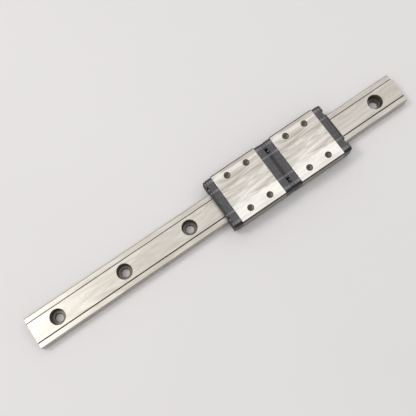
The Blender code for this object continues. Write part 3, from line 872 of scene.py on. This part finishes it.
def screw_mesh():
    """A cross-recessed pan-head screw along X, seated where the frame seats it."""
    low, high = SCREW_SPAN
    seat = high - HEAD_HEIGHT
    radius = (SCREW_HIGH.y - SCREW_LOW.y) / 2
    centre = (low + high) / 2
    dome = arc((0, 0), 1, 90, 0, DOME_STEPS)
    profile = [
        (radius * c, seat + HEAD_HEIGHT * (HEAD_RIM_SHARE + HEAD_DOME_SHARE * s) - centre)
        for c, s in dome
    ]
    profile += [(radius, seat - centre), (SHANK_RADIUS, seat - centre)]
    for i in range(int((seat - low) / SCREW_PITCH) - 2):
        z = seat - SCREW_THREAD_START - i * SCREW_PITCH - centre
        profile += [(SHANK_RADIUS, z), (SHANK_RADIUS - SCREW_THREAD_DEPTH, z - SCREW_THREAD_DROP)]
    profile += [(SHANK_RADIUS * SCREW_POINT_SHARE, low - centre), (0, low - centre)]
    screw = turned("screw_fine", profile, SMALL_ROUND_STEPS, "X")
    screw.location.x = centre
    arms = []
    for share_y, share_z in ((RECESS_LENGTH, RECESS_WIDTH), (RECESS_WIDTH, RECESS_LENGTH)):
        reach_y, reach_z = share_y * radius, share_z * radius
        low_corner = (high - HEAD_HEIGHT * RECESS_DEPTH_SHARE, -reach_y, -reach_z)
        high_corner = (high + CUT_MARGIN, reach_y, reach_z)
        arms.append(box("recess", low_corner, high_corner))
    screw = cut(screw, *arms)
    screw.location.z = SCREW_Z
    return finished(screw, SCREW_STEEL)


def circuit_point(distance):
    """The point (x, y) at this distance round a ball circuit: two straights and two half turns."""
    distance %= CIRCUIT_LENGTH
    side = 1 if distance < CIRCUIT_LENGTH / 2 else -1
    distance %= CIRCUIT_LENGTH / 2
    straight = 2 * BLOCK_HALF_LENGTH
    if distance < straight:
        return side * (distance - BLOCK_HALF_LENGTH), -side * TURN_RADIUS
    angle = (distance - straight) / TURN_RADIUS - math.pi / 2
    reach = BLOCK_HALF_LENGTH + TURN_RADIUS * math.cos(angle)
    return side * reach, side * TURN_RADIUS * math.sin(angle)


def ball_circuit_mesh():
    """The balls of one circuit, centred on the circuit's middle."""
    pitch = CIRCUIT_LENGTH / BALLS_PER_CIRCUIT
    shape = bmesh.new()
    for ball in range(BALLS_PER_CIRCUIT):
        x, y = circuit_point(ball * pitch)
        bmesh.ops.create_uvsphere(
            shape,
            u_segments=BALL_STEPS,
            v_segments=BALL_RINGS,
            radius=BALL_RADIUS,
            matrix=Matrix.Translation((x, y, 0)),
        )
    return finished(from_bmesh("balls", shape), BALL_STEEL)


def cage_belt_mesh():
    """The resin belt that keeps a circuit's balls apart, as a flat ribbon through their middles."""
    count = BALLS_PER_CIRCUIT * BELT_POINTS_PER_BALL
    curve = bpy.data.curves.new("belt", "CURVE")
    curve.dimensions = "3D"
    curve.twist_mode = "Z_UP"
    curve.extrude = BELT_HALF_HEIGHT
    curve.bevel_depth = BELT_THICKNESS / 2
    curve.bevel_resolution = 1
    spline = curve.splines.new("POLY")
    spline.points.add(count - 1)
    spline.use_cyclic_u = True
    for i, point in enumerate(spline.points):
        point.co = (*circuit_point(i * CIRCUIT_LENGTH / count), 0, 1)
    return finished(link("belt", curve), BELT_RESIN)


# ---------------------------------------------------------------- assembly


def place(name, mesh, body, at=(0, 0, 0), turned_round=False, stands_for=()):
    """One copy of a piece, riding on a body. Turned round, it faces the other way along X."""
    made = link(name, mesh)
    made.location = at
    made.rotation_euler.z = math.pi if turned_round else 0
    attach(made, body)
    if stands_for:
        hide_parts(*stands_for)


def refinish(node, material):
    """A better material on a CAD node whose shape is right."""
    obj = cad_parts[node]
    obj.data.shade_smooth()
    obj.data.set_sharp_from_angle(angle=SMOOTH_ANGLE)
    for material_slot in obj.material_slots:
        material_slot.material = material


def dress_carriage(side, meshes):
    """All of a carriage's pieces, the left or the right one's."""
    body = side + "_carriage"
    x = CENTRE_X[side]
    node = side + "_block"
    place(node + "_fine", meshes["block"], body, (x, 0, 0), stands_for=[node])
    place(side + "_threads", meshes["threads"], body, (x, 0, 0))

    for end, along in ENDS:
        away = along < 0
        for part, slot in (
            ("end_plate", "end_plate_resin"),
            ("seal_core", "seal_core_steel"),
            ("wiper_seal", "wiper_rubber"),
        ):
            node = f"{side}_{part}_{end}"
            place(node + "_fine", meshes[part], body, (x, 0, 0), away, [node])
        for flank_name, across in FLANKS:
            node = f"{side}_screw_{end}_{flank_name}"
            at = (x, across * SCREW_Y, 0)
            place(node + "_fine", meshes["screw"], body, at, away, [node])
            refinish(f"{side}_return_guide_{end}_{flank_name}", GUIDE_RESIN)

    for flank_name, across in FLANKS:
        refinish(f"{side}_ball_retainer_{flank_name}", GUIDE_RESIN)
        for row, z in ROW_Z.items():
            at = (x, across * TURN_Y, z)
            node = f"{side}_ball_chain_{flank_name}_{row}"
            place(node + "_balls", meshes["balls"], body, at, across < 0, [node])
            place(node + "_belt", meshes["belt"], body, at, across < 0)


def build_pieces():
    place("rail_fine", rail_mesh(), "rail", stands_for=["rail"])
    meshes = {
        "block": block_mesh(),
        "threads": thread_mesh(),
        "end_plate": end_plate_mesh(),
        "seal_core": seal_core_mesh(),
        "wiper_seal": wiper_mesh(),
        "screw": screw_mesh(),
        "balls": ball_circuit_mesh(),
        "belt": cage_belt_mesh(),
    }
    for side in SIDES:
        dress_carriage(side, meshes)


# ---------------------------------------------------------------- studio

FLOOR_HALF_WIDTH = 2.0
FLOOR_UNDERSIDE = -0.02
FLOOR_GAP = 0.05 * MM  # between the floor and the rail's underside
WORLD_COLOUR, WORLD_STRENGTH = (0.975, 0.98, 1.0, 1), 0.42

# The camera's place, turn and lens, which look down on the carriages from the near side.
CAMERA_AIM = Vector((-6.3, 3.15, 6.0)) * MM
CAMERA_DISTANCE = 363.0 * MM
CAMERA_FORWARD = Vector((0.1174, 0.2192, -0.9686)).normalized()
CAMERA_UPWARDS = Vector((0.5561, 0.7936, 0.2470)).normalized()
CAMERA_LENS = 60.6
CAMERA_SENSOR_WIDTH = 36.0
CAMERA_CLIP_START = 0.01


def area_light(name, at, aim, size, power, colour):
    data = bpy.data.lights.new(name, "AREA")
    data.shape = "RECTANGLE"
    data.size, data.size_y = size
    data.energy = power
    data.color = colour
    light = link(name, data)
    light.location = at
    light.rotation_euler = (Vector(aim) - Vector(at)).to_track_quat("-Z", "Y").to_euler()


def build_studio():
    """A pale floor, an even sky, a broad light overhead and a small brighter one to the left."""
    floor = box(
        "floor",
        (-FLOOR_HALF_WIDTH, -FLOOR_HALF_WIDTH, FLOOR_UNDERSIDE),
        (FLOOR_HALF_WIDTH, FLOOR_HALF_WIDTH, -FLOOR_GAP),
    )
    floor.data.materials.append(paper_floor())

    world = bpy.data.worlds.new("studio")
    world.use_nodes = True
    backdrop = world.node_tree.nodes["Background"]
    backdrop.inputs["Color"].default_value = WORLD_COLOUR
    backdrop.inputs["Strength"].default_value = WORLD_STRENGTH
    bpy.context.scene.world = world
    bpy.context.scene.view_settings.view_transform = "Standard"

    area_light(
        "key_softbox",
        at=(-0.50, 0.37, 0.95),
        aim=(0, 0, 0),
        size=(0.30, 0.30),
        power=2.5,
        colour=(1.0, 0.98, 0.95),
    )
    area_light(
        "overhead_softbox",
        at=(0.13, 0.12, 1.0),
        aim=(0.13, 0.12, 0),
        size=(1.9, 1.3),
        power=5.8,
        colour=(1.0, 0.99, 0.975),
    )


def build_camera():
    """Looks down steeply from the near side, turned so that the rail runs up to the right."""
    sideways = CAMERA_FORWARD.cross(CAMERA_UPWARDS).normalized()
    data = bpy.data.cameras.new("camera")
    data.sensor_width = CAMERA_SENSOR_WIDTH
    data.lens = CAMERA_LENS
    data.clip_start = CAMERA_CLIP_START
    camera = link("camera", data)
    turn = Matrix((sideways, sideways.cross(CAMERA_FORWARD), -CAMERA_FORWARD)).transposed()
    place_behind_aim = Matrix.Translation(CAMERA_AIM - CAMERA_DISTANCE * CAMERA_FORWARD)
    camera.matrix_world = place_behind_aim @ turn.to_4x4()
    bpy.context.scene.camera = camera


build_pieces()
build_studio()
build_camera()
bpy.context.view_layer.update()
